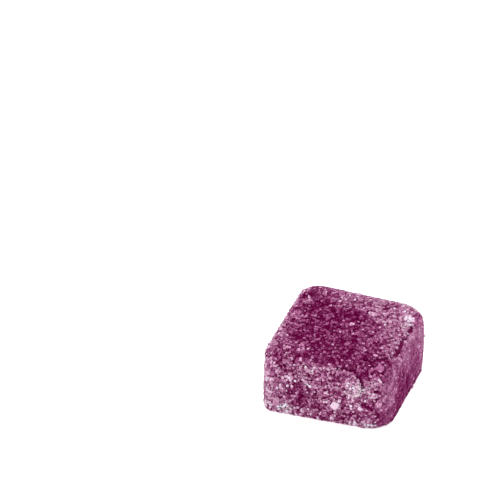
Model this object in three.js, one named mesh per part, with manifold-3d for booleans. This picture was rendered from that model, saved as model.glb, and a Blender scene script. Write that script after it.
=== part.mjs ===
// One gummy candy: a soft fruit-jelly square poured in a 20 mm mould and rolled in sugar.
// It is a single solid. The jelly is a rounded, slightly drafted slab that has slumped a little
// out of square, and the sugar is a crust of small crystals grown into its skin.
//
// Millimetres, +Z up, origin at the middle of the foot. The front is -Y and the right side is +X.

import * as THREE from "three";
import { mergeVertices } from "three/addons/utils/BufferGeometryUtils.js";
import Module from "manifold-3d";

// Driving dimensions, measured over the sugar.
const WIDTH = 21.0; // left to right across the foot
const DEPTH = 21.0; // front to back across the foot
const HEIGHT = 10.9;
const DRAFT = 0.15; // how far each side leans in from foot to top
const SIDE_BULGE = 0.24; // how far each side swells at half height
const TOP_EDGE_RADIUS = 1.9;
const FOOT_EDGE_RADIUS = 0.9;
const FOOT_CUT = 0.3; // how much of the rounded foot is pressed flat where the candy stands
const TOP_DISH = 0.22; // how far the middle of the top has sunk as the jelly set

// The four upright corners, anticlockwise seen from above. A moulded corner is round, and each
// one has slumped its own way: how round it is at the foot and at the top, and how far its foot
// and its top have moved to the right (x), to the back (y) and up (z).
const CORNERS = [
  { name: "front right", footRadius: 3.9, topRadius: 2.2, foot: [-0.4, 0.5], top: [-0.4, -0.2, -0.15] },
  { name: "back right", footRadius: 5.2, topRadius: 4.0, foot: [0.2, 0.35], top: [0.0, 0.0, -0.1] },
  { name: "back left", footRadius: 3.0, topRadius: 3.2, foot: [0.0, 0.0], top: [0.0, 0.0, 0.0] },
  { name: "front left", footRadius: 1.5, topRadius: 3.6, foot: [0.6, -0.8], top: [-0.2, 0.0, 0.1] },
];

// The crust on the front has folded into one low lobe under the top edge. It stands out most at
// its round right end, and fades to the left and downwards.
const LOBE_CENTRE_X = 2.0;
const LOBE_CENTRE_Z = 7.5;
const LOBE_HALF_WIDTH = 4.0;
const LOBE_HALF_HEIGHT = 2.7;
const LOBE_SQUARENESS = 3; // 2 would make its outline an ellipse
const LOBE_RISE = 0.4;
const LOBE_LIP = 0.12; // the share of its size over which the lobe falls away
const LOBE_FADE = [-1.2, 0.6]; // where the fade starts and ends, from its lower left to its upper right

// The sugar. What is finer than the largest crystals is relief: every point of a fine grid is
// moved out or in by a seeded draw, so that each facet stands at its own angle.
const FACET = 0.7; // side of one facet of the relief
const RELIEF_OUT = 0.2;
const RELIEF_IN = 0.2;
const RELIEF_SIDEWAYS = 0.14; // how far a point of the grid wanders along the surface
const LARGE_CRYSTALS = 124;
const CRYSTAL_SIDE = [0.65, 1.15]; // smallest and largest of the crystals that are bodies of their own
const CRYSTAL_LENGTH = 1.35; // length over side of the longest crystal
const CRYSTAL_FLATNESS = 0.75; // height over side of the flattest crystal
const CRYSTAL_LEAN = 0.23; // a sugar crystal is a leaning box: the tangent of its lean
const CRYSTAL_TILT = 0.45; // radians by which a crystal may lie off the skin that holds it
const CRYSTAL_SUNK = 0.2; // how deep in the skin its middle lies, as a share of its side
const CRYSTAL_SPACING = 1.7; // least distance between the middles of two large crystals
const FOOT_CLEARANCE = 0.6; // no large crystal has its middle lower than this
const SEED = 20;

const UP = new THREE.Vector3(0, 0, 1);
const clamp = THREE.MathUtils.clamp;
const lerp = THREE.MathUtils.lerp;
const smoothstep = THREE.MathUtils.smoothstep;

// A repeatable random number from 0 to 1 at each call.
function seededRandom(seed) {
  let state = seed >>> 0;
  return () => {
    state = (state + 0x6d2b79f5) >>> 0;
    let bits = Math.imul(state ^ (state >>> 15), 1 | state);
    bits = (bits + Math.imul(bits ^ (bits >>> 7), 61 | bits)) ^ bits;
    return ((bits ^ (bits >>> 14)) >>> 0) / 4294967296;
  };
}

// Rounds one corner of a rectangle: (x, y) on the sides that meet at (halfX, halfY) goes to an arc.
function roundCorner(x, y, halfX, halfY, radius) {
  const centreX = halfX - radius;
  const centreY = halfY - radius;
  if (x <= centreX || y <= centreY) return [x, y];
  const away = Math.hypot(x - centreX, y - centreY);
  return [centreX + (radius * (x - centreX)) / away, centreY + (radius * (y - centreY)) / away];
}

// Blends one value for each upright corner over the plan, from their shares of a point.
function cornerShares(x, y) {
  const right = clamp(0.5 + x / WIDTH, 0, 1);
  const back = clamp(0.5 + y / DEPTH, 0, 1);
  return [right * (1 - back), right * back, (1 - right) * back, (1 - right) * (1 - back)];
}

// The profile of a side: a point at height z, on a ring that is share of the way out from the
// middle, moves onto the rounded top edge and foot edge. The round foot reaches below zero, and
// that part of it is cut off later.
function roundProfile(share, z) {
  const half = WIDTH / 2;
  const out = share * half;
  if (z > HEIGHT / 2) {
    const [newOut, newZ] = roundCorner(out, z, half, HEIGHT, TOP_EDGE_RADIUS);
    return [newOut / half, newZ];
  }
  const [newOut, depth] = roundCorner(out, -z, half, FOOT_CUT, FOOT_EDGE_RADIUS);
  return [newOut / half, -depth];
}

// Moves a point of a plain box onto the skin of the slab.
function ontoSlab(point) {
  const across = point.x / (WIDTH / 2);
  const along = point.y / (DEPTH / 2);
  const share = Math.max(Math.abs(across), Math.abs(along));
  const [newShare, z] = roundProfile(share, point.z);
  const grow = share > 0 ? newShare / share : 1;
  const rise = Math.max(0, z / HEIGHT);

  // The ring through this point is a square with its own round corner in each quarter.
  const quarter = point.x >= 0 ? (point.y < 0 ? 0 : 1) : point.y >= 0 ? 2 : 3;
  const corner = CORNERS[quarter];
  const radius = lerp(corner.footRadius, corner.topRadius, rise) * newShare;
  const half = (WIDTH / 2) * newShare;
  const [absX, absY] = roundCorner(Math.abs(point.x) * grow, Math.abs(point.y) * grow, half, half, radius);
  point.x = Math.sign(point.x) * absX;
  point.y = Math.sign(point.y) * absY;
  point.z = z;

  // Draft and swelling act on the sides, and fade towards the middle of the top and the foot.
  const lean = (SIDE_BULGE * 4 * rise * (1 - rise) - DRAFT * rise) / (WIDTH / 2);
  point.x *= 1 + lean;
  point.y *= 1 + lean;

  // Each corner has slumped its own way.
  cornerShares(point.x, point.y).forEach((part, index) => {
    const { foot, top } = CORNERS[index];
    point.x += part * lerp(foot[0], top[0], rise);
    point.y += part * lerp(foot[1], top[1], rise);
    point.z += part * rise * top[2];
  });

  // The top has sunk, most in the middle.
  const inTop = smoothstep(rise, 0.8, 1);
  const fromMiddle = clamp(Math.hypot(point.x, point.y) / (WIDTH / 2), 0, 1);
  point.z -= TOP_DISH * inTop * (1 - fromMiddle * fromMiddle);

  return point;
}

// How far the folded crust on the front stands out at x and z.
function lobeRise(x, z) {
  const across = (x - LOBE_CENTRE_X) / LOBE_HALF_WIDTH;
  const up = (z - LOBE_CENTRE_Z) / LOBE_HALF_HEIGHT;
  const powers = Math.abs(across) ** LOBE_SQUARENESS + Math.abs(up) ** LOBE_SQUARENESS;
  const reach = powers ** (1 / LOBE_SQUARENESS);
  const fade = smoothstep(across + up, LOBE_FADE[0], LOBE_FADE[1]);
  return LOBE_RISE * fade * (1 - smoothstep(reach, 1 - LOBE_LIP, 1 + LOBE_LIP));
}

// A closed box of small facets, each vertex shared, with every point moved onto the slab.
function slabGeometry() {
  const across = Math.round(WIDTH / FACET);
  const along = Math.round(DEPTH / FACET);
  const tall = HEIGHT + FOOT_CUT;
  const up = Math.round(tall / FACET);
  const box = new THREE.BoxGeometry(WIDTH, DEPTH, tall, across, along, up);
  box.translate(0, 0, tall / 2 - FOOT_CUT);
  box.deleteAttribute("normal");
  box.deleteAttribute("uv");
  const slab = mergeVertices(box, FACET / 1000);
  const position = slab.getAttribute("position");
  const point = new THREE.Vector3();
  for (let i = 0; i < position.count; i++) {
    ontoSlab(point.fromBufferAttribute(position, i));
    position.setXYZ(i, point.x, point.y, point.z);
  }
  slab.computeVertexNormals();
  return slab;
}

// Gives the slab its folded lobe and its rough skin of sugar.
function addRelief(slab, random) {
  const position = slab.getAttribute("position");
  const normal = slab.getAttribute("normal");
  const point = new THREE.Vector3();
  const outward = new THREE.Vector3();
  const sideways = new THREE.Vector3();
  for (let i = 0; i < position.count; i++) {
    point.fromBufferAttribute(position, i);
    outward.fromBufferAttribute(normal, i);
    sideways.set(random() - 0.5, random() - 0.5, random() - 0.5).multiplyScalar(2 * RELIEF_SIDEWAYS);
    sideways.addScaledVector(outward, -sideways.dot(outward));
    const frontness = Math.max(0, -outward.y);
    const rise = lerp(-RELIEF_IN, RELIEF_OUT, random()) + frontness * lobeRise(point.x, point.z);
    point.add(sideways).addScaledVector(outward, rise);
    position.setXYZ(i, point.x, point.y, point.z);
  }
}

// A sugar crystal: a leaning box that lies on one of its faces, more or less, where the skin faces
// outward. It is spun any way round and half sunk.
function crystalGeometry(place, random) {
  const side = lerp(CRYSTAL_SIDE[0], CRYSTAL_SIDE[1], random() ** 2);
  const length = side * lerp(1, CRYSTAL_LENGTH, random());
  const height = side * lerp(CRYSTAL_FLATNESS, 1, random());
  const tiltX = CRYSTAL_TILT * (2 * random() - 1);
  const tiltY = CRYSTAL_TILT * (2 * random() - 1);
  const spin = 2 * Math.PI * random();
  const crystal = new THREE.BoxGeometry(side, length, height);
  crystal.applyMatrix4(new THREE.Matrix4().makeShear(0, 0, CRYSTAL_LEAN, 0, 0, 0));
  crystal.applyMatrix4(new THREE.Matrix4().makeRotationFromEuler(new THREE.Euler(tiltX, tiltY, spin)));
  crystal.applyQuaternion(new THREE.Quaternion().setFromUnitVectors(UP, place.outward));
  const middle = place.point.clone().addScaledVector(place.outward, -CRYSTAL_SUNK * side);
  crystal.translate(middle.x, middle.y, middle.z);
  crystal.deleteAttribute("normal");
  crystal.deleteAttribute("uv");
  return mergeVertices(crystal, side / 1000);
}

// Where the large crystals sit: points of the skin drawn one by one, none close to another.
function crystalPlaces(slab, random) {
  const position = slab.getAttribute("position");
  const normal = slab.getAttribute("normal");
  const places = [];
  for (let tries = 0; places.length < LARGE_CRYSTALS && tries < LARGE_CRYSTALS * 60; tries++) {
    const i = Math.floor(random() * position.count);
    const point = new THREE.Vector3().fromBufferAttribute(position, i);
    const outward = new THREE.Vector3().fromBufferAttribute(normal, i);
    if (point.z < FOOT_CLEARANCE) continue;
    if (places.some((other) => other.point.distanceTo(point) < CRYSTAL_SPACING)) continue;
    places.push({ point, outward });
  }
  return places;
}

const wasm = await Module();
wasm.setup();

// A closed mesh with shared vertices, as a solid.
function solidOf(geometry) {
  return new wasm.Manifold(
    new wasm.Mesh({
      numProp: 3,
      vertProperties: new Float32Array(geometry.getAttribute("position").array),
      triVerts: new Uint32Array(geometry.index.array),
    }),
  );
}

// The vertices and triangles of a solid, as a geometry.
function geometryOf(solid) {
  const mesh = solid.getMesh();
  const geometry = new THREE.BufferGeometry();
  geometry.setAttribute("position", new THREE.BufferAttribute(mesh.vertProperties, mesh.numProp));
  geometry.setIndex(new THREE.BufferAttribute(mesh.triVerts, 1));
  geometry.computeVertexNormals();
  return geometry;
}

// All that lies below the foot, to be cut off so that the candy stands flat.
function tableSolid() {
  const table = new THREE.BoxGeometry(2 * WIDTH, 2 * DEPTH, HEIGHT);
  table.translate(0, 0, -HEIGHT / 2);
  table.deleteAttribute("normal");
  table.deleteAttribute("uv");
  return solidOf(mergeVertices(table));
}

// The whole candy: the slab with its relief, the largest crystals fused to it, and a flat foot.
function gummyGeometry() {
  const random = seededRandom(SEED);
  const slab = slabGeometry();
  const places = crystalPlaces(slab, random);
  addRelief(slab, random);
  let candy = solidOf(slab);
  for (const place of places) {
    candy = candy.add(solidOf(crystalGeometry(place, random)));
  }
  return geometryOf(candy.subtract(tableSolid()));
}

const sugaredJelly = new THREE.MeshStandardMaterial({
  name: "sugared_jelly",
  color: new THREE.Color(0x96527b), // plum-coloured jelly seen through its sugar
  roughness: 0.55,
  metalness: 0,
});

const gummy = new THREE.Mesh(gummyGeometry(), sugaredJelly);
gummy.name = "gummy";

const candy = new THREE.Group();
candy.add(gummy);

export default candy;
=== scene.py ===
# %% [markdown]
# # A sugared gummy candy
# This scene dresses one square gummy candy: firm fruit jelly that was poured in a square mould,
# turned out and rolled in granulated sugar while its skin was still wet.
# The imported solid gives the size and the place. The jelly and its sugar are made here as separate
# pieces, because they look different: the jelly is one smooth dark plum, and the sugar is
# thousands of small crystals, pale where they are dry and plum-coloured where they have soaked.

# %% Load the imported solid
import math

import bmesh
import bpy
import numpy as np
from mathutils import Matrix, Vector, noise
from mathutils.kdtree import KDTree


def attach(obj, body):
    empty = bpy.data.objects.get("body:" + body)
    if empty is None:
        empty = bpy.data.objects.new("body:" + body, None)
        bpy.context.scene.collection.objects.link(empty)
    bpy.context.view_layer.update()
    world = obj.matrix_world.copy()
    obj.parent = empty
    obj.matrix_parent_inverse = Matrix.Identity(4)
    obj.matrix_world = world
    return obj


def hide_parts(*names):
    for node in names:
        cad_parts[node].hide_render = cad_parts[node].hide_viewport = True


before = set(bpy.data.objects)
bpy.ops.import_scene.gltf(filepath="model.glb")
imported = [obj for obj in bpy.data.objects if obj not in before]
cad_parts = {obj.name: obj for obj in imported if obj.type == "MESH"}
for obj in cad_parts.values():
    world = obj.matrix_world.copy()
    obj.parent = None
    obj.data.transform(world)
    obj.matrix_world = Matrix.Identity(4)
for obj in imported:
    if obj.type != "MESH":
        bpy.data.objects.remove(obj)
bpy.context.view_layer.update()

MM = 0.001  # sizes below are in millimetres, and the scene is in metres

# %% [markdown]
# ## The camera
# A product photograph of sweets is taken with a long lens from some way off, so that the edges of
# the block stay nearly parallel. The camera looks down at 35 degrees, a little from the right.
# It could be pointed with a Track To constraint, but a matrix made of its own three axes keeps it
# exactly level, and lets the candy stand off-centre in the picture without any lens shift.

# %% Set up the camera
IMAGE_SIDE = 480  # pixels
SENSOR = 36.0  # mm
LENS = 225.0  # mm
AZIMUTH = math.radians(20.2)
ELEVATION = math.radians(35.0)
DISTANCE = 474.9  # mm, from the middle of the foot
FOOT_PIXEL = (345.1, 382.3)  # where the middle of the foot shows in the picture
NEAREST = 10.0  # mm, the least distance that the camera sees


def add_camera():
    back = Vector((
        math.sin(AZIMUTH) * math.cos(ELEVATION),
        -math.cos(AZIMUTH) * math.cos(ELEVATION),
        math.sin(ELEVATION),
    ))
    right = Vector((math.cos(AZIMUTH), math.sin(AZIMUTH), 0))
    up = back.cross(right)
    mm_per_pixel = DISTANCE * SENSOR / (LENS * IMAGE_SIDE)
    off_right = (FOOT_PIXEL[0] - IMAGE_SIDE / 2) * mm_per_pixel
    off_down = (FOOT_PIXEL[1] - IMAGE_SIDE / 2) * mm_per_pixel
    place = (back * DISTANCE - right * off_right + up * off_down) * MM
    data = bpy.data.cameras.new("camera")
    data.lens = LENS
    data.sensor_width = SENSOR
    data.clip_start = NEAREST * MM
    camera = bpy.data.objects.new("camera", data)
    camera.matrix_world = Matrix.Translation(place) @ Matrix((right, up, back)).transposed().to_4x4()
    bpy.context.scene.collection.objects.link(camera)
    bpy.context.scene.camera = camera
    return camera


camera = add_camera()
print("camera at, mm:", [round(value / MM) for value in camera.location])

# %% [markdown]
# ## Floor and light
# The candy lies on a light table, a sheet of white acrylic that glows a little from below, as
# small things are often photographed on: it takes away the shadow beside them. A white world
# gives the even light of a bright room. Two lamps add a little, one at the front left like a
# window, and one high over the back. Small lamps would put hard shadows between the grains, so
# both are wide.
# The Standard view keeps the colours as they are mixed: a filmic view would wash out the plum.

# %% Make the floor and the lights
FLOOR_RADIUS = 900.0
FLOOR_SEGMENTS = 96
FLOOR_COLOUR = 0.9
FLOOR_ROUGHNESS = 0.9
FLOOR_SHINE = 0.1
FLOOR_GLOW = 0.4
WORLD_STRENGTH = 1.0


def add_floor():
    bm = bmesh.new()
    bmesh.ops.create_circle(bm, cap_ends=True, segments=FLOOR_SEGMENTS, radius=FLOOR_RADIUS * MM)
    mesh = bpy.data.meshes.new("floor")
    bm.to_mesh(mesh)
    bm.free()
    floor = bpy.data.objects.new("floor", mesh)
    bpy.context.scene.collection.objects.link(floor)
    material = bpy.data.materials.new("white_table")
    material.use_nodes = True
    shader = material.node_tree.nodes["Principled BSDF"]
    shader.inputs["Base Color"].default_value = (FLOOR_COLOUR, FLOOR_COLOUR, FLOOR_COLOUR, 1)
    shader.inputs["Roughness"].default_value = FLOOR_ROUGHNESS
    shader.inputs["Specular IOR Level"].default_value = FLOOR_SHINE
    shader.inputs["Emission Color"].default_value = (1, 1, 1, 1)
    shader.inputs["Emission Strength"].default_value = FLOOR_GLOW
    mesh.materials.append(material)
    return floor


def add_lamp(name, place, size, watts):
    data = bpy.data.lights.new(name, "AREA")
    data.shape = "DISK"
    data.size = size * MM
    data.energy = watts
    lamp = bpy.data.objects.new(name, data)
    lamp.location = Vector(place) * MM
    lamp.rotation_euler = Vector(place).to_track_quat("Z", "Y").to_euler()
    bpy.context.scene.collection.objects.link(lamp)
    return lamp


add_floor()
world = bpy.data.worlds.new("bright_room")
world.use_nodes = True
world.node_tree.nodes["Background"].inputs["Color"].default_value = (1, 1, 1, 1)
world.node_tree.nodes["Background"].inputs["Strength"].default_value = WORLD_STRENGTH
bpy.context.scene.world = world
bpy.context.scene.view_settings.view_transform = "Standard"
add_lamp("window", place=(-420, -560, 520), size=360, watts=2.4)
add_lamp("ceiling", place=(150, 250, 800), size=500, watts=4.0)

# %% [markdown]
# ## The shape of the block
# The block is a square slab with soft edges, slumped a little out of square. It could be a cube
# with a Subdivision Surface modifier, but then the roundness of each edge is hard to set. Here the
# points of a finely cut cube are moved onto the slab by a few rules, the same ones that shaped
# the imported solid: round edges, round upright corners, swollen sides, and a sunken top.

# %% Give the rules of the slab's shape
WIDTH = 21.0  # over the sugar, left to right and front to back
HEIGHT = 10.9
DRAFT = 0.15  # how far each side leans in from foot to top
SIDE_BULGE = 0.24
TOP_EDGE_RADIUS = 1.9
FOOT_EDGE_RADIUS = 0.9
FOOT_CUT = 0.3  # how much of the rounded foot is pressed flat
TOP_DISH = 0.22
DISH_FROM = 0.8  # the share of the height above which the top sinks
HALF = WIDTH / 2
TINY = 1e-9  # keeps a division by nothing from failing

# The upright corners, anticlockwise from the front right: how round each is at its foot and top,
# and how far its foot and its top have slumped to the right, to the back and up.
CORNERS = [
    {"foot_radius": 3.9, "top_radius": 2.2, "foot": (-0.4, 0.5, 0.0), "top": (-0.4, -0.2, -0.15)},
    {"foot_radius": 5.2, "top_radius": 4.0, "foot": (0.2, 0.35, 0.0), "top": (0.0, 0.0, -0.1)},
    {"foot_radius": 3.0, "top_radius": 3.2, "foot": (0.0, 0.0, 0.0), "top": (0.0, 0.0, 0.0)},
    {"foot_radius": 1.5, "top_radius": 3.6, "foot": (0.6, -0.8, 0.0), "top": (-0.2, 0.0, 0.1)},
]


def mix(low, high, share):
    """The value that lies that share of the way from low to high."""
    return low + (high - low) * share


def smooth_step(value, low, high):
    """0 below low, 1 above high, and a soft curve between them."""
    share = np.clip((value - low) / (high - low), 0, 1)
    return share * share * (3 - 2 * share)


def round_corner(x, y, half_x, half_y, radius):
    """Moves points on the sides of a rectangle that meet at (half_x, half_y) onto an arc."""
    centre_x = half_x - radius
    centre_y = half_y - radius
    away = np.maximum(np.hypot(x - centre_x, y - centre_y), TINY)
    outside = (x > centre_x) & (y > centre_y)
    new_x = np.where(outside, centre_x + radius * (x - centre_x) / away, x)
    new_y = np.where(outside, centre_y + radius * (y - centre_y) / away, y)
    return new_x, new_y


def onto_slab(points):
    """Moves the points of a plain box, from -FOOT_CUT to HEIGHT high, onto the skin of the slab."""
    x, y, z = points.T.copy()
    share = np.maximum(np.abs(x), np.abs(y)) / HALF
    top_out, top_z = round_corner(share * HALF, z, HALF, HEIGHT, TOP_EDGE_RADIUS)
    foot_out, foot_depth = round_corner(share * HALF, -z, HALF, FOOT_CUT, FOOT_EDGE_RADIUS)
    upper = z > HEIGHT / 2
    new_share = np.where(upper, top_out, foot_out) / HALF
    grow = new_share / np.maximum(share, TINY)
    z = np.where(upper, top_z, -foot_depth)
    rise = np.maximum(z / HEIGHT, 0)

    quarter = np.where(x >= 0, np.where(y < 0, 0, 1), np.where(y >= 0, 2, 3))
    foot_radius = np.array([corner["foot_radius"] for corner in CORNERS])[quarter]
    top_radius = np.array([corner["top_radius"] for corner in CORNERS])[quarter]
    radius = mix(foot_radius, top_radius, rise) * new_share
    half = HALF * new_share
    abs_x, abs_y = round_corner(np.abs(x) * grow, np.abs(y) * grow, half, half, radius)
    x = np.sign(x) * abs_x
    y = np.sign(y) * abs_y

    lean = 1 + (SIDE_BULGE * 4 * rise * (1 - rise) - DRAFT * rise) / HALF
    x = x * lean
    y = y * lean

    right = np.clip(0.5 + x / WIDTH, 0, 1)
    rear = np.clip(0.5 + y / WIDTH, 0, 1)
    parts = [right * (1 - rear), right * rear, (1 - right) * rear, (1 - right) * (1 - rear)]
    for part, corner in zip(parts, CORNERS):
        x = x + part * mix(corner["foot"][0], corner["top"][0], rise)
        y = y + part * mix(corner["foot"][1], corner["top"][1], rise)
        z = z + part * rise * corner["top"][2]

    from_middle = np.clip(np.hypot(x, y) / HALF, 0, 1)
    z = z - TOP_DISH * smooth_step(rise, DISH_FROM, 1) * (1 - from_middle**2)
    return np.column_stack((x, y, z))


print("slab, mm:", WIDTH, "across and", HEIGHT, "high, with", len(CORNERS), "slumped corners")

# %% [markdown]
# The sugar crust on the front has folded into one low lobe, just under the top edge. Its outline
# is a rounded rectangle, and it fades away to the lower left. A groove runs round its steep end;
# its shadow is painted shade, given further on as a strip of bare dark jelly.

# %% Give the rules of the lobe
LOBE_CENTRE = (2.0, 7.5)  # x and z
LOBE_HALF_SIZE = (4.0, 2.7)
LOBE_SQUARENESS = 3
LOBE_RISE = 0.4
LOBE_LIP = 0.12  # how soft its edge is, as a share of its half size
LOBE_FADE = (-1.2, 0.6)  # where it starts to rise and where it is full, from lower left to upper right


def lobe_reach(x, z):
    """0 in the middle of the lobe and 1 on its outline."""
    across = np.abs(x - LOBE_CENTRE[0]) / LOBE_HALF_SIZE[0]
    up = np.abs(z - LOBE_CENTRE[1]) / LOBE_HALF_SIZE[1]
    return (across**LOBE_SQUARENESS + up**LOBE_SQUARENESS) ** (1 / LOBE_SQUARENESS)


def lobe_fade(x, z):
    """1 at the steep upper right end of the lobe and 0 at its lower left."""
    across = (x - LOBE_CENTRE[0]) / LOBE_HALF_SIZE[0]
    up = (z - LOBE_CENTRE[1]) / LOBE_HALF_SIZE[1]
    return smooth_step(across + up, *LOBE_FADE)


def lobe_height(x, z):
    """How far the lobe stands out of the front."""
    edge = 1 - smooth_step(lobe_reach(x, z), 1 - LOBE_LIP, 1 + LOBE_LIP)
    return LOBE_RISE * lobe_fade(x, z) * edge


print("lobe, mm:", [2 * side for side in LOBE_HALF_SIZE], "across and high, raised by", LOBE_RISE)

# %% [markdown]
# ## The skin
# All the sugar lies on one smooth skin, so the skin is made first: a cube, cut into a fine grid
# by the subdivide operator, and moved onto the slab. It is only a guide and isn't rendered.

# %% Make the guide skin
SKIN_CUTS = 71


def block(cuts):
    """A cube from -FOOT_CUT to HEIGHT high, with its faces cut into a grid."""
    bm = bmesh.new()
    tall = HEIGHT + FOOT_CUT
    bmesh.ops.create_cube(bm, size=1)
    bmesh.ops.scale(bm, vec=(WIDTH, WIDTH, tall), verts=bm.verts)
    bmesh.ops.translate(bm, vec=(0, 0, tall / 2 - FOOT_CUT), verts=bm.verts)
    bmesh.ops.subdivide_edges(bm, edges=bm.edges[:], cuts=cuts, use_grid_fill=True)
    return bm


def points_of(bm):
    return np.array([vertex.co[:] for vertex in bm.verts])


def move_points(bm, points):
    for vertex, point in zip(bm.verts, points):
        vertex.co = point
    bm.normal_update()


def normals_of(bm):
    return np.array([vertex.normal[:] for vertex in bm.verts])


def slab_skin(cuts):
    """The slab with its lobe, as a bmesh in millimetres."""
    bm = block(cuts)
    move_points(bm, onto_slab(points_of(bm)))
    points = points_of(bm)
    normals = normals_of(bm)
    rise = lobe_height(points[:, 0], points[:, 2]) * np.maximum(-normals[:, 1], 0)
    points = points + normals * rise[:, None]
    points[:, 2] = np.maximum(points[:, 2], 0)
    move_points(bm, points)
    return bm


skin = slab_skin(SKIN_CUTS)
skin_points = points_of(skin)
skin_normals = normals_of(skin)
skin_triangles = np.array([
    [loop.vert.index for loop in triangle] for triangle in skin.calc_loop_triangles()
])
print("skin:", len(skin_points), "points")
print("skin, mm: from", skin_points.min(0).round(2), "to", skin_points.max(0).round(2))

# %% [markdown]
# ## Where the sugar is pale and where it is dark
# Sugar never lies evenly. It is dry and pale along the rims and on the lobe, soaked and dark in
# the middle of the top, damp and smooth on the right side, and rubbed off along two lines. Part
# of this is painted light: the rims are also painted pale as a highlight, the right side is
# painted darker and smoother as the side in shade, and the two bare lines are partly painted shade.
# These rules are written once, as functions of a place on the skin, and every kind of grain
# then follows them: frost says how pale the sugar is, from 0 for bare jelly to 1 for dry white
# sugar, and cover how likely a grain is to lie there at all.

# %% Tell the faces of the block apart
# A face begins where the normal has the first share of its length that way, and is full at the second.
TOP_TURN = (0.35, 0.8)
SIDE_TURN = (0.45, 0.85)
EDGE_TURN = (0.8, 0.97)  # a point whose normal has less than this along every axis is on an edge
# The rims at the left, the back and the foot are partly dry sugar and partly painted highlight, on edges
# that face the lamps and the glowing table.
RIM_REACH = (5, 8)  # mm from the middle, where the dry rims at the left and the back begin
FOOT_RIM_REACH = (1, 2.5)  # mm up, where the dry rim round the foot ends


def faces_of(normals):
    """How much each point faces up, to the front and to the right, from 0 to 1."""
    up = smooth_step(normals[:, 2], *TOP_TURN)
    front = smooth_step(-normals[:, 1], *SIDE_TURN)
    right = smooth_step(normals[:, 0], *SIDE_TURN)
    return up, front, right


def dry_and_lit_rims(points, normals):
    """1 on the rounded edges at the left, at the back and round the foot."""
    x, y, z = points.T
    edge = 1 - smooth_step(np.abs(normals).max(axis=1), *EDGE_TURN)
    outer = np.maximum(smooth_step(-x, *RIM_REACH), smooth_step(y, *RIM_REACH))
    return edge * np.maximum(outer, 1 - smooth_step(z, *FOOT_RIM_REACH))


print("up, front and right, mean:", [share.mean().round(2) for share in faces_of(skin_normals)])
print("dry rims, mean:", dry_and_lit_rims(skin_points, skin_normals).mean().round(2))

# %% [markdown]
# Two things follow lines on the skin: the dry rim of the lobe, and the bare places where sugar has
# come off, along the right edge of the top and in the groove behind the lobe. The bare jelly along
# these two lines is also painted shade: of the crust's edge on the top, and of the crease behind
# the lobe. Each line is a list of places that it passes, left to right.

# %% Draw the rim of the lobe, and the bare lines that are partly painted shade
RIM_LINE = [
    (-2.2, -10.6, 9.0), (-2.0, -10.5, 9.6), (-0.9, -10.25, 10.05), (0.5, -10.1, 10.3),
    (1.7, -10.15, 10.3), (3.6, -10.2, 10.25), (5.0, -10.6, 9.8), (5.7, -10.8, 9.1),
    (5.8, -10.95, 7.9), (5.4, -11.05, 6.5),
]
# The groove's bare strip is painted shade of the crease behind the lobe, as well as sugar that has come
# off.
GROOVE_SHADE_LINE = [
    (2.0, -9.9, 10.4), (3.3, -9.8, 10.45), (4.6, -9.8, 10.4), (5.6, -10.4, 9.8), (6.2, -10.6, 9.1),
    (6.25, -10.7, 8.2),
]
# Along the right edge of the top the bare strip is partly rubbed off and partly painted shade of the
# crust's edge.
BARE_SHADE_LINE = [
    (5.4, -6.9, 10.7), (7.2, -6.2, 10.7), (8.2, -5.3, 10.7), (9.1, -4.2, 10.5),
    (9.3, -3.2, 10.4), (9.3, -2.2, 10.4), (9.35, -1.2, 10.4), (9.2, -0.3, 10.5),
    (9.15, 0.5, 10.5), (9.4, 1.5, 10.4), (9.5, 2.7, 10.4), (9.5, 4.0, 10.4),
]
RIM_HALF_WIDTH = 0.32
SMOOTH_HALF_WIDTH = 0.5  # of the band along the rim where the sugar is more even
GROOVE_SHADE_HALF_WIDTH = 0.34
BARE_SHADE_HALF_WIDTH = 0.44
LINE_FADE = (0.8, 1.2)  # shares of the half width between which a line fades away


def near_line(points, line, half_width):
    """1 on a line through the places given, and 0 a little farther off than half_width."""
    nearest = np.full(len(points), np.inf)
    for start, end in zip(np.array(line), np.array(line[1:])):
        way = end - start
        along = np.clip((points - start) @ way / (way @ way), 0, 1)
        nearest = np.minimum(nearest, np.linalg.norm(points - start - along[:, None] * way, axis=1))
    return 1 - smooth_step(nearest / half_width, *LINE_FADE)


def rubbed_and_shaded(points):
    """1 where the sugar has come off; along these lines the bare jelly is partly painted shade."""
    groove_shade = near_line(points, GROOVE_SHADE_LINE, GROOVE_SHADE_HALF_WIDTH)
    return np.maximum(groove_shade, near_line(points, BARE_SHADE_LINE, BARE_SHADE_HALF_WIDTH))


print("share of the skin rubbed bare:", rubbed_and_shaded(skin_points).mean().round(4))

# %% [markdown]
# Each spot where the sugar differs from its surroundings has a line of its own: which face it is
# on, where its middle is and how far it reaches there, and how much paler it is, or darker if
# less than 0. A place on the top is given as x and y, on the front as x and z, and on the right
# side as y and z.

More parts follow.
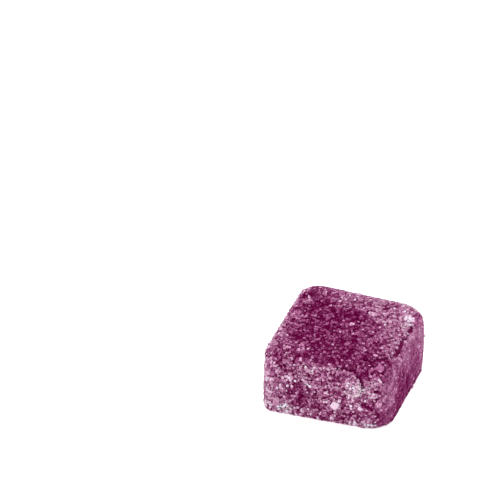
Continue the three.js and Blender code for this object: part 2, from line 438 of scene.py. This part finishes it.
# %% List the pale and the dark spots
FACE_AXES = {"top": (0, 1), "front": (0, 2), "right": (1, 2)}
SPOT_FADE = (0.5, 1.3)  # shares of a spot's half size between which it fades away
SPOTS = [
    ("top", (-6.8, 7.0), (3.0, 2.6), -0.18),  # the back left corner
    ("top", (-5.4, 6.9), (0.9, 1.5), -0.12),
    ("top", (7.0, -7.6), (3.4, 3.0), -0.26),  # the front right corner, where crust has broken off
    ("top", (6.2, -3.2), (1.6, 2.4), -0.2),
    ("top", (3.9, -4.2), (1.4, 2.6), 0.11),
    ("top", (8.8, -9.7), (1.2, 0.9), -0.1),
    ("top", (3.0, 2.6), (1.4, 6.0), 0.1),
    ("top", (-1.6, 6.2), (2.4, 1.8), 0.12),
    ("top", (-6.8, 3.4), (1.3, 1.8), -0.1),
    ("top", (9.6, 6.6), (0.9, 2.2), -0.24),
    ("top", (-8.3, -9.9), (1.5, 0.9), -0.26),
    ("top", (-9.6, -8.6), (0.8, 1.0), -0.12),
    ("top", (8.8, 3.9), (0.9, 2.0), 0.22),  # round the largest clump
    ("top", (5.0, 7.4), (1.3, 1.3), -0.1),
    ("top", (7.2, 8.7), (1.4, 0.9), 0.12),
    ("top", (3.8, 8.9), (3.2, 1.1), 0.1),
    ("top", (4.6, 3.8), (0.9, 1.2), 0.11),
    ("top", (-9.3, 2.5), (1.1, 4.5), -0.16),
    ("top", (-5.8, -7.2), (2.4, 1.8), 0.12),
    ("top", (-0.9, -8.6), (1.3, 1.2), 0.11),
    ("top", (-3.4, -10.4), (3.2, 0.9), 0.18),
    ("top", (1.2, -10.6), (1.8, 0.9), 0.15),
    ("top", (4.0, -10.3), (1.4, 0.9), -0.1),
    ("front", (-4.4, 5.2), (1.9, 1.4), -0.22),  # a thin place, with another just below it
    ("front", (-3.6, 3.0), (1.4, 1.1), -0.28),
    ("front", (-8.0, 10.3), (1.9, 1.0), -0.22),
    ("front", (-9.6, 8.4), (1.1, 1.8), -0.15),
    ("front", (-6.7, 5.4), (1.0, 1.1), 0.15),
    ("front", (-9.2, 3.4), (1.6, 2.6), 0.12),
    ("front", (-3.0, 9.0), (2.2, 1.0), 0.14),
    ("front", (-0.9, 9.2), (0.9, 1.6), -0.14),
    ("front", (-3.0, 7.0), (1.2, 1.0), 0.16),
    # Painted shade: the next spot is darker as the shadow in a hollow of the lobe, which the shape itself
    # lacks.
    ("front", (2.1, 8.6), (1.1, 1.1), -0.2),  # a hollow in the lobe
    ("front", (3.0, 7.2), (1.2, 1.1), 0.12),
    ("front", (2.4, 6.0), (1.4, 1.0), -0.16),
    ("front", (5.0, 7.5), (1.4, 1.6), 0.17),  # the dry end of the lobe
    ("front", (6.9, 7.0), (1.4, 1.7), 0.14),
    ("front", (6.6, 10.6), (2.4, 0.6), -0.24),
    ("front", (7.8, 8.9), (1.8, 0.8), 0.1),
    ("front", (1.8, 4.0), (1.2, 1.1), 0.08),  # round the large clump
    ("front", (0.0, 1.4), (1.2, 1.7), -0.14),
    ("front", (-5.9, 0.7), (1.4, 1.2), 0.18),
    ("front", (-2.4, 1.2), (0.9, 1.1), 0.12),
    ("front", (-6.6, 1.7), (1.5, 1.4), 0.26),
    ("front", (7.6, 5.2), (1.6, 1.2), -0.2),
    ("front", (6.4, 3.4), (1.3, 1.3), -0.1),
    ("front", (6.2, 0.5), (3.0, 0.9), 0.24),
    ("front", (8.9, 2.0), (1.2, 1.7), -0.24),
    ("front", (3.8, 2.0), (2.4, 1.1), -0.12),
    ("right", (-4.2, 7.2), (1.8, 2.0), -0.13),
    ("right", (-8.4, 4.8), (2.0, 4.4), 0.13),
    ("right", (-8.2, 3.6), (1.6, 1.8), 0.07),
    ("right", (7.0, 10.0), (1.5, 1.5), -0.17),
    ("right", (-7.8, 7.8), (1.4, 1.1), -0.12),
    ("right", (-8.7, 0.9), (1.1, 1.2), -0.14),
    ("right", (-6.6, 2.1), (1.3, 1.1), 0.1),
    ("right", (-3.6, 2.8), (2.6, 1.2), -0.06),
    ("right", (6.0, 5.0), (3.4, 5.0), 0.12),
    ("right", (3.2, 2.0), (3.2, 1.4), 0.1),
]


def spots(points, normals):
    """How much paler or darker all the spots together make each point."""
    shares = dict(zip(("top", "front", "right"), faces_of(normals)))
    change = np.zeros(len(points))
    for face, middle, half_size, paler in SPOTS:
        away = np.linalg.norm((points[:, FACE_AXES[face]] - middle) / np.array(half_size), axis=1)
        change += paler * shares[face] * (1 - smooth_step(away, *SPOT_FADE))
    return change


print("spots:", len(SPOTS))

# %% Say how dry the sugar is
SIDE_FROST = 0.43
TOP_FROST = (0.125, 0.47)  # in the middle of the top and at its rims
# The right side is painted darker, most of all low down: painted shade of the side turned away from the
# lamps, as well as damp sugar.
RIGHT_FROST = (0.14, 0.42)  # low and high on the right side
RIGHT_RISE = (2.5, 9.5)  # mm up, where low ends and high begins on the right side
TOP_MIDDLE = (-1.5, -2.5)
TOP_MIDDLE_HALF_SIZE = (6.3, 8.3)
TOP_MIDDLE_SQUARENESS = 3
TOP_MIDDLE_FADE = (0.8, 1.3)  # shares of its half size between which the middle turns into the rims
# Paler rims: partly dry sugar, partly painted highlight.
DRY_AND_LIT_RIM_FROST = 0.18  # how much paler the dry rims are
LOBE_RIM_FROST = 0.22  # how much paler the rim of the lobe is


def dryness(points, normals):
    """How dry the sugar is in each part of the skin, from 0 to about 1, with the painted highlight of the
    rims and the painted shade of the right side and of one spot added in.
    """
    x, y, z = points.T
    up, _, right = faces_of(normals)
    across = np.abs(x - TOP_MIDDLE[0]) / TOP_MIDDLE_HALF_SIZE[0]
    along = np.abs(y - TOP_MIDDLE[1]) / TOP_MIDDLE_HALF_SIZE[1]
    reach = (across**TOP_MIDDLE_SQUARENESS + along**TOP_MIDDLE_SQUARENESS) ** (1 / TOP_MIDDLE_SQUARENESS)
    level = mix(SIDE_FROST, mix(*RIGHT_FROST, smooth_step(z, *RIGHT_RISE)), right)
    level = mix(level, mix(*TOP_FROST, smooth_step(reach, *TOP_MIDDLE_FADE)), up)
    level = level + spots(points, normals) + DRY_AND_LIT_RIM_FROST * dry_and_lit_rims(points, normals)
    return np.clip(level + LOBE_RIM_FROST * near_line(points, RIM_LINE, RIM_HALF_WIDTH), 0, 1)


print("dryness over the skin, mean:", dryness(skin_points, skin_normals).mean().round(2))

# %% [markdown]
# No two neighbouring grains are quite alike, so two smooth noises stir the dryness, in patches a
# few grains wide. A third lies on the damp right side alone, stretched upwards like runs of
# syrup. There and along the rim of the lobe the grains differ less, because they have melted
# together. On the right side this evenness is also painted shade: a side out of the lamps' light
# shows no glints.

# %% Say how pale the sugar is, and how much of it there is
TOP_CONTRAST = 0.8  # how unlike its neighbours a grain on the top is, where it would be 1 on a side
# The low contrast on the right side is partly painted shade: no painted glints on the side in shade.
RIGHT_CONTRAST = 0.18
RIM_EVENNESS = 0.55  # how much of the contrast is lost along the rim of the lobe
WIDE_PATCHES = (1.3, 0.2)  # their size in mm, and how far they shift the frost
SMALL_PATCHES = (0.55, 0.25)
SYRUP_RUNS = (1.2, 0.15)
SYRUP_STRETCH = (1, 1, 0.5)
WET_FROST = (0.1, 0.4)  # the sugar is wet below the first, and dry above the second
WET_LOSS = 0.4  # the share of the grains that wet sugar lacks, because they have melted
# On the bare lines the grains are left off, so their dark jelly is partly painted shade.
RUBBED_AND_SHADED_LOSS = 0.98


def patches(points, size):
    """A smooth noise, about -0.5 to 0.5, with patches of that size."""
    return np.array([noise.noise(Vector(point)) for point in points / size])


def contrast(points, normals):
    """How unlike each other neighbouring grains and their sides are; between the sides of a grain this
    scales painted glints.
    """
    up, _, right = faces_of(normals)
    rim = near_line(points, RIM_LINE, SMOOTH_HALF_WIDTH)
    return mix(mix(1, TOP_CONTRAST, up), RIGHT_CONTRAST, right) * (1 - RIM_EVENNESS * rim)


def frost(points, normals):
    """How pale the sugar is: as its dryness, but with small patches."""
    _, _, right = faces_of(normals)
    level = dryness(points, normals)
    wide = WIDE_PATCHES[1] * patches(points, WIDE_PATCHES[0])
    small = SMALL_PATCHES[1] * contrast(points, normals) * patches(points, SMALL_PATCHES[0])
    runs = SYRUP_RUNS[1] * right * patches(points * SYRUP_STRETCH, SYRUP_RUNS[0])
    return level + wide + small + runs


def cover(points, normals):
    """How likely a grain is to lie at each point."""
    wet = 1 - smooth_step(frost(points, normals), *WET_FROST)
    return (1 - RUBBED_AND_SHADED_LOSS * rubbed_and_shaded(points)) * (1 - WET_LOSS * wet)


print("cover over the skin, mean:", cover(skin_points, skin_normals).mean().round(2))
print("frost over the skin, mean:", frost(skin_points, skin_normals).mean().round(2))

# %% [markdown]
# ## Scattering the grains
# A particle system could scatter the grains, but its instances are lost when the model is
# exported. So the places are drawn here with a seeded random generator. Larger grains are placed
# first, and each new grain keeps clear of those that already lie there, as real grains do.

# %% Draw places on the skin
SEED = 6
RNG = np.random.default_rng(SEED)


def draw_places(count):
    """Random places on the skin, with the direction in which the skin faces."""
    a, b, c = (skin_points[skin_triangles[:, side]] for side in range(3))
    area = np.linalg.norm(np.cross(b - a, c - a), axis=1)
    chosen = RNG.choice(len(skin_triangles), count, p=area / area.sum())
    weights = RNG.dirichlet((1, 1, 1), count)
    corners = skin_triangles[chosen]
    points = np.einsum("ij,ijk->ik", weights, skin_points[corners])
    normals = np.einsum("ij,ijk->ik", weights, skin_normals[corners])
    return points, normals / np.linalg.norm(normals, axis=1, keepdims=True)


def clear_of(points, gaps, others):
    """Which points keep their gap to all of the others, given as places and gaps of their own."""
    other_points, other_gaps = others
    tree = KDTree(len(other_points))
    for index, point in enumerate(other_points):
        tree.insert(point, index)
    tree.balance()
    clear = np.ones(len(points), bool)
    for index, (point, gap) in enumerate(zip(points, gaps)):
        for _, other, distance in tree.find_range(point, (gap + other_gaps.max()) / 2):
            if distance < (gap + other_gaps[other]) / 2:
                clear[index] = False
                break
    return clear


def spread_out(points, gap):
    """Keeps points in the order given, each at least gap away from those kept before it."""
    cells = {}
    kept = []
    keys = np.floor(points / gap).astype(int)
    for index, (key, point) in enumerate(zip(keys.tolist(), points.tolist())):
        near = (
            other
            for i in (-1, 0, 1)
            for j in (-1, 0, 1)
            for k in (-1, 0, 1)
            for other in cells.get((key[0] + i, key[1] + j, key[2] + k), ())
        )
        if all(math.dist(point, other) >= gap for other in near):
            cells.setdefault(tuple(key), []).append(point)
            kept.append(index)
    return np.array(kept, int)


print("random places are drawn from seed", SEED)

# %% [markdown]
# ## The crystals
# A sugar crystal is a small leaning box with its edges and corners worn off. A few different ones
# are cut with bmesh operators, and each kind of grain is then one joined mesh of many copies,
# each copy with its own size, turn and place. Only such a joined mesh is light enough to render
# and to export. Each flat side of each copy carries its own frost value, because a crystal is
# clear: a large side shows the jelly through it, while a cut edge is painted pale, a painted
# glint where it would catch the light. A random share for each side adds more painted glints.

# %% Cut a set of crystals
EDGE_WAYS = [(1, 0, 1), (-1, 0, 1), (0, 1, 1), (0, -1, 1), (1, 1, 0), (-1, 1, 0), (1, -1, 0), (-1, -1, 0)]
CRYSTAL_LENGTH = (1, 1.4)  # as shares of its width, like the thickness
CRYSTAL_THICKNESS = (0.7, 1)
CRYSTAL_LEAN = 0.25
CUT_WANDER = 0.4  # how far the plane of a cut turns away from the even 45 degrees
CUT_PLACE = (0.74, 0.88)  # as a share of the way from the middle to the edge that is cut
SMALL_SIDE = 0.4  # a side counts as small below this share of the largest one
# A cut edge is painted paler: a painted glint where the light would catch it.
EDGE_GLINT = 0.12  # how much paler a small side is
SIDE_CLEARNESS = 0.08  # how much darker a large side is


def cut_crystal(random, cuts):
    """One crystal about 1 across: points, triangles, the side of each triangle, and each side's painted
    glint or clearness.
    """
    bm = bmesh.new()
    bmesh.ops.create_cube(bm, size=1)
    size = (1, random.uniform(*CRYSTAL_LENGTH), random.uniform(*CRYSTAL_THICKNESS))
    bmesh.ops.scale(bm, vec=size, verts=bm.verts)
    lean = [random.uniform(-CRYSTAL_LEAN, CRYSTAL_LEAN) for _ in range(2)]
    bmesh.ops.transform(bm, matrix=Matrix.Shear("XY", 4, lean), verts=bm.verts)
    for way in random.permutation(EDGE_WAYS)[:cuts]:
        towards = Vector(way + random.uniform(-CUT_WANDER, CUT_WANDER, 3)).normalized()
        farthest = max(towards.dot(vertex.co) for vertex in bm.verts)
        cut = bmesh.ops.bisect_plane(
            bm,
            geom=bm.verts[:] + bm.edges[:] + bm.faces[:],
            plane_co=towards * farthest * random.uniform(*CUT_PLACE),
            plane_no=towards,
            clear_outer=True,
        )
        rim = [part for part in cut["geom_cut"] if isinstance(part, bmesh.types.BMEdge)]
        bmesh.ops.contextual_create(bm, geom=rim)
    bmesh.ops.recalc_face_normals(bm, faces=bm.faces)
    areas = np.array([face.calc_area() for face in bm.faces])
    # Small sides, the worn edges, get a painted glint; large sides are darker, as the jelly shows through
    # them.
    side_glints_and_clearness = np.where(areas < SMALL_SIDE * areas.max(), EDGE_GLINT, -SIDE_CLEARNESS)
    side_layer = bm.faces.layers.int.new("side")
    for side, face in enumerate(bm.faces):
        face[side_layer] = side
    bmesh.ops.triangulate(bm, faces=bm.faces[:])
    points = np.array([vertex.co[:] for vertex in bm.verts])
    triangles = np.array([[vertex.index for vertex in face.verts] for face in bm.faces])
    sides = np.array([face[side_layer] for face in bm.faces])
    bm.free()
    return points, triangles, sides, side_glints_and_clearness


def crystal_set(kinds, cuts):
    random = np.random.default_rng(kinds * 10 + cuts)
    return [cut_crystal(random, cuts) for _ in range(kinds)]


PLAIN_CRYSTALS = crystal_set(kinds=12, cuts=1)
CUT_CRYSTALS = crystal_set(kinds=16, cuts=4)
FINE_CRYSTALS = crystal_set(kinds=12, cuts=8)
for shapes in (PLAIN_CRYSTALS, CUT_CRYSTALS, FINE_CRYSTALS):
    print("a crystal's triangles:", [len(triangles) for _, triangles, _, _ in shapes])


# %% Turn each crystal its own way
NEARLY_UPRIGHT = 0.9  # above this share of its length, a normal is too upright to cross with up


def turns(normals, tilt):
    """One rotation matrix for each normal: any spin about it, and a random tilt off it."""
    count = len(normals)
    helper = np.where(np.abs(normals[:, 2:]) < NEARLY_UPRIGHT, (0, 0, 1), (1, 0, 0))
    side = np.cross(helper, normals)
    side /= np.linalg.norm(side, axis=1, keepdims=True)
    ahead = np.cross(normals, side)
    spin = RNG.uniform(0, 2 * math.pi, count)[:, None]
    first = side * np.cos(spin) + ahead * np.sin(spin)
    second = np.cross(normals, first)
    angle = (tilt * RNG.standard_normal(count))[:, None]
    top = normals * np.cos(angle) + first * np.sin(angle)
    first = first * np.cos(angle) - normals * np.sin(angle)
    return np.stack((first, second, top), axis=2)


# %% Join many crystals in one mesh
def add_attribute(mesh, name, domain, values):
    """Stores one number for each face or point of a mesh, for its material to read."""
    mesh.attributes.new(name, "FLOAT", domain).data.foreach_set("value", values.astype(np.float32))


def join_crystals(name, shapes, places, normals, sizes, frosts, tilt, sunk, side_glint_spread):
    """One mesh piece of many crystals, with frost, painted glints included, and dryness in attributes of
    their flat sides.
    """
    rotations = turns(normals, tilt)
    centres = places - normals * (sizes * sunk)[:, None]
    which = RNG.integers(len(shapes), size=len(places))
    dry = dryness(places, normals)
    all_points, all_triangles, all_frosts_and_glints, all_dry = [], [], [], []
    start = 0
    for kind, (points, triangles, sides, side_glints_and_clearness) in enumerate(shapes):
        mine = np.flatnonzero(which == kind)
        moved = np.einsum("nij,pj->npi", rotations[mine] * sizes[mine, None, None], points)
        moved += centres[mine, None, :]
        lowest = moved[:, :, 2].min(axis=1)
        moved[:, :, 2] += np.maximum(-lowest, 0)[:, None]
        offsets = start + np.arange(len(mine)) * len(points)
        joined = triangles[None] + offsets[:, None, None]
        # A random share for each side adds more painted glints, and more clear sides.
        own_frosts_and_glints = side_glints_and_clearness + side_glint_spread * RNG.standard_normal((len(mine), len(side_glints_and_clearness)))
        own_frosts_and_glints = frosts[mine, None] + contrast(places[mine], normals[mine])[:, None] * own_frosts_and_glints
        all_points.append(moved.reshape(-1, 3))
        all_triangles.append(joined.reshape(-1, 3))
        all_frosts_and_glints.append(own_frosts_and_glints[:, sides].ravel())
        all_dry.append(np.repeat(dry[mine], len(triangles)))
        start += moved.shape[0] * moved.shape[1]
    points = np.concatenate(all_points) * MM
    triangles = np.concatenate(all_triangles)
    mesh = bpy.data.meshes.new(name)
    mesh.vertices.add(len(points))
    mesh.vertices.foreach_set("co", points.astype(np.float32).ravel())
    mesh.loops.add(triangles.size)
    mesh.loops.foreach_set("vertex_index", triangles.astype(np.int32).ravel())
    mesh.polygons.add(len(triangles))
    mesh.polygons.foreach_set("loop_start", np.arange(0, triangles.size, 3, dtype=np.int32))
    add_attribute(mesh, "frost", "FACE", np.concatenate(all_frosts_and_glints))
    add_attribute(mesh, "dryness", "FACE", np.concatenate(all_dry))
    mesh.update(calc_edges=True)
    piece = bpy.data.objects.new(name, mesh)
    bpy.context.scene.collection.objects.link(piece)
    print(name, len(places), "crystals,", len(triangles), "triangles")
    return piece


# %% [markdown]
# ## The finishes
# The colour of this candy runs along one line, from bare plum jelly through soaked sugar to dry
# white sugar. A Color Ramp holds that line once, and the frost of a crystal's side, painted glint
# included, picks the place on it. A fine noise on Object coordinates keeps any one side from
# being a flat colour.
# Where the crust as a whole is dry, its grains are a cooler grey than equally pale grains in
# soaked sugar, so the dryness attribute mixes in a tint that takes away some red and blue.
# Transmission would be truer to clear crystals, but it is slow and noisy on thousands of small
# sides. So the finish is opaque, and the frost of each side stands for what shows through it,
# and for the glint it would catch, as a painted glint.

# %% Mix the finish of the sugar and of the jelly
SUGAR_COLOURS = [
    (0.00, "580234"),
    (0.15, "762556"),
    (0.35, "964d7a"),
    (0.55, "b4729b"),
    (0.75, "cc96b7"),
    (0.92, "e1b4d0"),
    (1.00, "dec6e2"),
]
DRY_TINT = (0.72, 1.0, 0.78, 1.0)
SUGAR_ROUGHNESS = 0.35
JELLY_ROUGHNESS = 0.4
SHINE = 0.0  # of both finishes, because a haze of soft light would grey the plum
NOISE_DETAIL = 2


def linear(hex_colour):
    """A colour as seen on a screen, in the linear numbers that a shader wants."""
    values = [int(hex_colour[i:i + 2], 16) / 255 for i in (0, 2, 4)]
    return [v / 12.92 if v <= 0.04045 else ((v + 0.055) / 1.055) ** 2.4 for v in values] + [1.0]


def new_material(name):
    material = bpy.data.materials.new(name)
    material.use_nodes = True
    nodes = material.node_tree.nodes
    return material, nodes, material.node_tree.links, nodes["Principled BSDF"]


def add_noise(nodes, links, scale, detail):
    """Noise on Object coordinates, scale in waves per millimetre."""
    coordinates = nodes.new("ShaderNodeTexCoord")
    texture = nodes.new("ShaderNodeTexNoise")
    texture.inputs["Scale"].default_value = scale / MM
    texture.inputs["Detail"].default_value = detail
    links.new(coordinates.outputs["Object"], texture.inputs["Vector"])
    return texture


def frosted_material(name, waves, stir, roughness):
    """A material with the colour of its frost, stirred that much by a noise of so many waves per mm."""
    material, nodes, links, shader = new_material(name)
    frost_value = nodes.new("ShaderNodeAttribute")
    frost_value.attribute_name = "frost"
    grain = add_noise(nodes, links, waves, NOISE_DETAIL)
    shift = nodes.new("ShaderNodeMath")
    shift.operation = "MULTIPLY_ADD"
    shift.inputs[1].default_value = stir
    shift.inputs[2].default_value = -stir / 2
    total = nodes.new("ShaderNodeMath")
    total.operation = "ADD"
    ramp = nodes.new("ShaderNodeValToRGB")
    while len(ramp.color_ramp.elements) < len(SUGAR_COLOURS):
        ramp.color_ramp.elements.new(0.5)
    for element, (position, hex_colour) in zip(ramp.color_ramp.elements, SUGAR_COLOURS):
        element.position = position
        element.color = linear(hex_colour)
    links.new(grain.outputs["Fac"], shift.inputs[0])
    links.new(frost_value.outputs["Fac"], total.inputs[0])
    links.new(shift.outputs[0], total.inputs[1])
    links.new(total.outputs[0], ramp.inputs["Fac"])
    dry_value = nodes.new("ShaderNodeAttribute")
    dry_value.attribute_name = "dryness"
    tint = nodes.new("ShaderNodeMix")
    tint.data_type = "RGBA"
    tint.blend_type = "MULTIPLY"
    factor, colour, dry_colour = tint.inputs[0], tint.inputs[6], tint.inputs[7]
    dry_colour.default_value = DRY_TINT
    links.new(dry_value.outputs["Fac"], factor)
    links.new(ramp.outputs["Color"], colour)
    links.new(tint.outputs[2], shader.inputs["Base Color"])
    shader.inputs["Roughness"].default_value = roughness
    shader.inputs["Specular IOR Level"].default_value = SHINE
    return material


DENT_STRENGTH = 0.5
DENT_DEPTH = 0.1  # mm
DENT_WAVES = 4.0  # per mm
DENT_DETAIL = 3


def jelly_finish():
    """The jelly has the same colours, and a fine bump where crystals have pressed into it."""
    material = frosted_material("plum_jelly", waves=1.5, stir=0.3, roughness=JELLY_ROUGHNESS)
    nodes, links = material.node_tree.nodes, material.node_tree.links
    bump = nodes.new("ShaderNodeBump")
    bump.inputs["Strength"].default_value = DENT_STRENGTH
    bump.inputs["Distance"].default_value = DENT_DEPTH * MM
    dents = add_noise(nodes, links, DENT_WAVES, DENT_DETAIL)
    links.new(dents.outputs["Fac"], bump.inputs["Height"])
    links.new(bump.outputs["Normal"], nodes["Principled BSDF"].inputs["Normal"])
    return material


SUGAR = frosted_material("sugar_crystals", waves=4.5, stir=0.6, roughness=SUGAR_ROUGHNESS)
JELLY = jelly_finish()
print("finishes:", SUGAR.name, "and", JELLY.name)


def finish_piece(piece, material):
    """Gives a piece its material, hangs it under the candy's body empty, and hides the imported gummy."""
    piece.data.materials.append(material)
    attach(piece, "root")
    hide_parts("gummy")
    return piece


# %% [markdown]
# ## The jelly
# Under the sugar is the jelly, which shows in every gap between the grains and along the lines
# where the sugar has come off, where its dark colour is partly painted shade. It is the skin
# again, moved inwards by the thickness of the crust, with soft dents where grains have pressed
# into it. On the damp right side the finest sugar has melted into a film, so the jelly is paler
# there.

# %% Make the jelly
JELLY_CUTS = 95
CRUST = 0.14  # from the jelly to the mean height of the sugar
BARE_DEPTH = 0.12  # how much deeper the jelly lies where the crust has come off
DENT = 0.03  # how uneven the jelly is
JELLY_FOOT = 0.12  # the height of the jelly's own foot, above the grains under it
JELLY_FROST = 0.04  # of bare jelly
FILM_SHARE = 0.8  # how pale the film is, as a share of the sugar's frost


def make_jelly():
    bm = slab_skin(JELLY_CUTS)
    points = points_of(bm)
    normals = normals_of(bm)
    # The bare lines show the dark jelly, partly as painted shade.
    bare_and_shaded = rubbed_and_shaded(points)
    film = faces_of(normals)[2] * (1 - bare_and_shaded)
    frosts = mix(JELLY_FROST, FILM_SHARE * frost(points, normals), film)
    dry = dryness(points, normals)
    depth = CRUST + BARE_DEPTH * bare_and_shaded + DENT * RNG.standard_normal(len(points))
    points = points - normals * depth[:, None]
    points[:, 2] = np.maximum(points[:, 2], JELLY_FOOT)
    move_points(bm, points * MM)
    for face in bm.faces:
        face.smooth = True
    mesh = bpy.data.meshes.new("jelly")
    bm.to_mesh(mesh)
    bm.free()
    add_attribute(mesh, "frost", "POINT", frosts)
    add_attribute(mesh, "dryness", "POINT", dry)
    piece = bpy.data.objects.new("jelly", mesh)
    bpy.context.scene.collection.objects.link(piece)
    print("jelly:", len(mesh.polygons), "faces")
    return finish_piece(piece, JELLY)


make_jelly()

# %% [markdown]
# ## The sugar
# Granulated sugar is sieved to about half a millimetre, but a few crystals are over a millimetre,
# some grains stick together in clumps, and there is always some dust. The few clumps and the
# largest crystals stand out, so they have places of their own. The rest is scattered over
# the whole skin in turn, largest first, and a few loose grains lie on top.

# %% Put on the clumps
# The middle of each clump, how far it reaches, how large its grains are and how pale. A short
# reach with a large grain makes one lone crystal.
CLUMPS = [
    ((8.6, 5.7, 10.6), 0.7, 0.45, 0.95),
    ((8.5, 4.2, 10.6), 0.3, 0.4, 0.8),
    ((0.5, 1.3, 10.7), 0.3, 0.4, 0.7),
    ((2.8, 4.9, 10.8), 0.5, 0.36, 0.7),
    ((1.8, -11.1, 3.9), 0.15, 1.3, 0.98),
    ((2.6, -11.0, 4.6), 0.3, 0.4, 0.8),
    ((-5.7, -10.7, 7.0), 0.45, 0.38, 0.8),
    ((5.3, -10.8, 8.3), 0.5, 0.36, 0.8),
    ((5.4, -10.9, 7.3), 0.5, 0.36, 0.82),
    ((4.5, -11.0, 6.6), 0.4, 0.36, 0.8),
    ((8.0, -10.0, 7.1), 0.4, 0.36, 0.75),
    ((-7.6, -10.9, 2.2), 0.2, 1.1, 0.5),
    ((8.0, -8.1, 10.4), 0.2, 1.1, 0.35),
]
CLUMP_DRAWS = 60000
CLUMP_GAP = 0.75  # between the grains of a clump, as a share of their side
CLUMP_HEAP = 0.4  # how high its middle is heaped up, as a share of a grain's side
CLUMP_SIZES = (0.8, 1.1)
# Between the sides of one grain this spread is a painted glint.
CLUMP_UNLIKE = 0.08  # how much the frost of its grains and of their sides differs


def clumped_grains():
    """Places, normals, sizes and frosts of the grains of all the clumps, heaped in the middle."""
    points, normals = draw_places(CLUMP_DRAWS)
    found = []
    for place, reach, side, paleness in CLUMPS:
        away = np.linalg.norm(points - place, axis=1)
        near = np.flatnonzero(away < np.hypot(reach, away.min()))
        near = near[spread_out(points[near], CLUMP_GAP * side)]
        heap = CLUMP_HEAP * side * np.maximum(1 - (away[near] / reach) ** 2, 0) * min(reach, 1)
        heaped = points[near] + normals[near] * heap[:, None]
        sizes = side * RNG.uniform(*CLUMP_SIZES, len(near))
        frosts = paleness + CLUMP_UNLIKE * RNG.standard_normal(len(near))
        found.append((heaped, normals[near], sizes, frosts))
    return [np.concatenate(parts) for parts in zip(*found)]


points, normals, sizes, frosts = clumped_grains()
piece = join_crystals(
    "sugar_clumps", FINE_CRYSTALS, points, normals, sizes, frosts, tilt=0.3, sunk=0.2, side_glint_spread=CLUMP_UNLIKE
)
finish_piece(piece, SUGAR)
clumps = (points, sizes)

# %% Scatter the large crystals
GRAIN_UNLIKE = 0.2  # how much neighbouring grains differ in frost
# The sides of one grain differ as painted glints.
SIDE_UNLIKE = 0.14  # how much the sides of one grain differ
FINE_SIDE_THINNING = 0.55  # share of the coarse grains that the damp right side lacks
CLEARANCE = 0.8  # between grains of two kinds, as a share of their mean side
SIZE_BIAS = 1.5  # above 1, smaller grains are more common than larger ones


def scatter(name, shapes, sides, gap, draws, others, tilt, sunk, paler=0.0, likely=1.0, coarse=True):
    """Makes a piece of grains of one kind, clear of the others, and returns their places and sizes.

    The sides are the least and the largest, the gap is from one middle to the next, and the tilt
    is in radians. How deep the grains are sunk is a share of their side.
    """
    points, normals = draw_places(draws)
    likely = likely * cover(points, normals)
    if coarse:
        likely = likely * (1 - FINE_SIDE_THINNING * faces_of(normals)[2])
    chosen = np.flatnonzero(RNG.random(draws) < likely)
    chosen = chosen[spread_out(points[chosen], gap)]
    sizes = mix(*sides, RNG.random(len(chosen)) ** SIZE_BIAS)
    clear = clear_of(points[chosen], CLEARANCE * sizes, others)
    points, normals, sizes = points[chosen][clear], normals[chosen][clear], sizes[clear]
    frosts = frost(points, normals) + paler
    frosts += GRAIN_UNLIKE * contrast(points, normals) * RNG.standard_normal(len(points))
    piece = join_crystals(name, shapes, points, normals, sizes, frosts, tilt, sunk, SIDE_UNLIKE)
    finish_piece(piece, SUGAR)
    return points, sizes


def together(*groups):
    """The places and sizes of several kinds of grain, as one kind."""
    return [np.concatenate(parts) for parts in zip(*groups)]


large = scatter(
    "sugar_large", FINE_CRYSTALS, sides=(0.5, 0.68), gap=2.0, draws=1500, others=clumps, tilt=0.2, sunk=0.36
)

# %% Scatter the coarse grains
placed = together(clumps, large)
coarse = scatter(
    "sugar_coarse", CUT_CRYSTALS, sides=(0.3, 0.46), gap=0.36, draws=60000, others=placed,
    tilt=0.25, sunk=0.38,
)

# %% Scatter the fine grains between them
placed = together(placed, coarse)
fine = scatter(
    "sugar_fine", PLAIN_CRYSTALS, sides=(0.2, 0.3), gap=0.22, draws=100000, others=placed,
    tilt=0.3, sunk=0.4,
)

# %% Scatter the loose grains on top of the others
scatter(
    "sugar_loose", CUT_CRYSTALS, sides=(0.22, 0.36), gap=0.8, draws=2500, others=clumps,
    tilt=0.35, sunk=0.0, paler=0.2, likely=0.7,
)

# %% Scatter the dust
placed = together(placed, fine)
scatter(
    "sugar_dust", PLAIN_CRYSTALS, sides=(0.13, 0.2), gap=0.15, draws=120000, others=placed,
    tilt=0.4, sunk=0.6, paler=-0.1, coarse=False,
)

# %% [markdown]
# ## Last steps
# The guide skin is freed.

# %% Free the guide skin
skin.free()
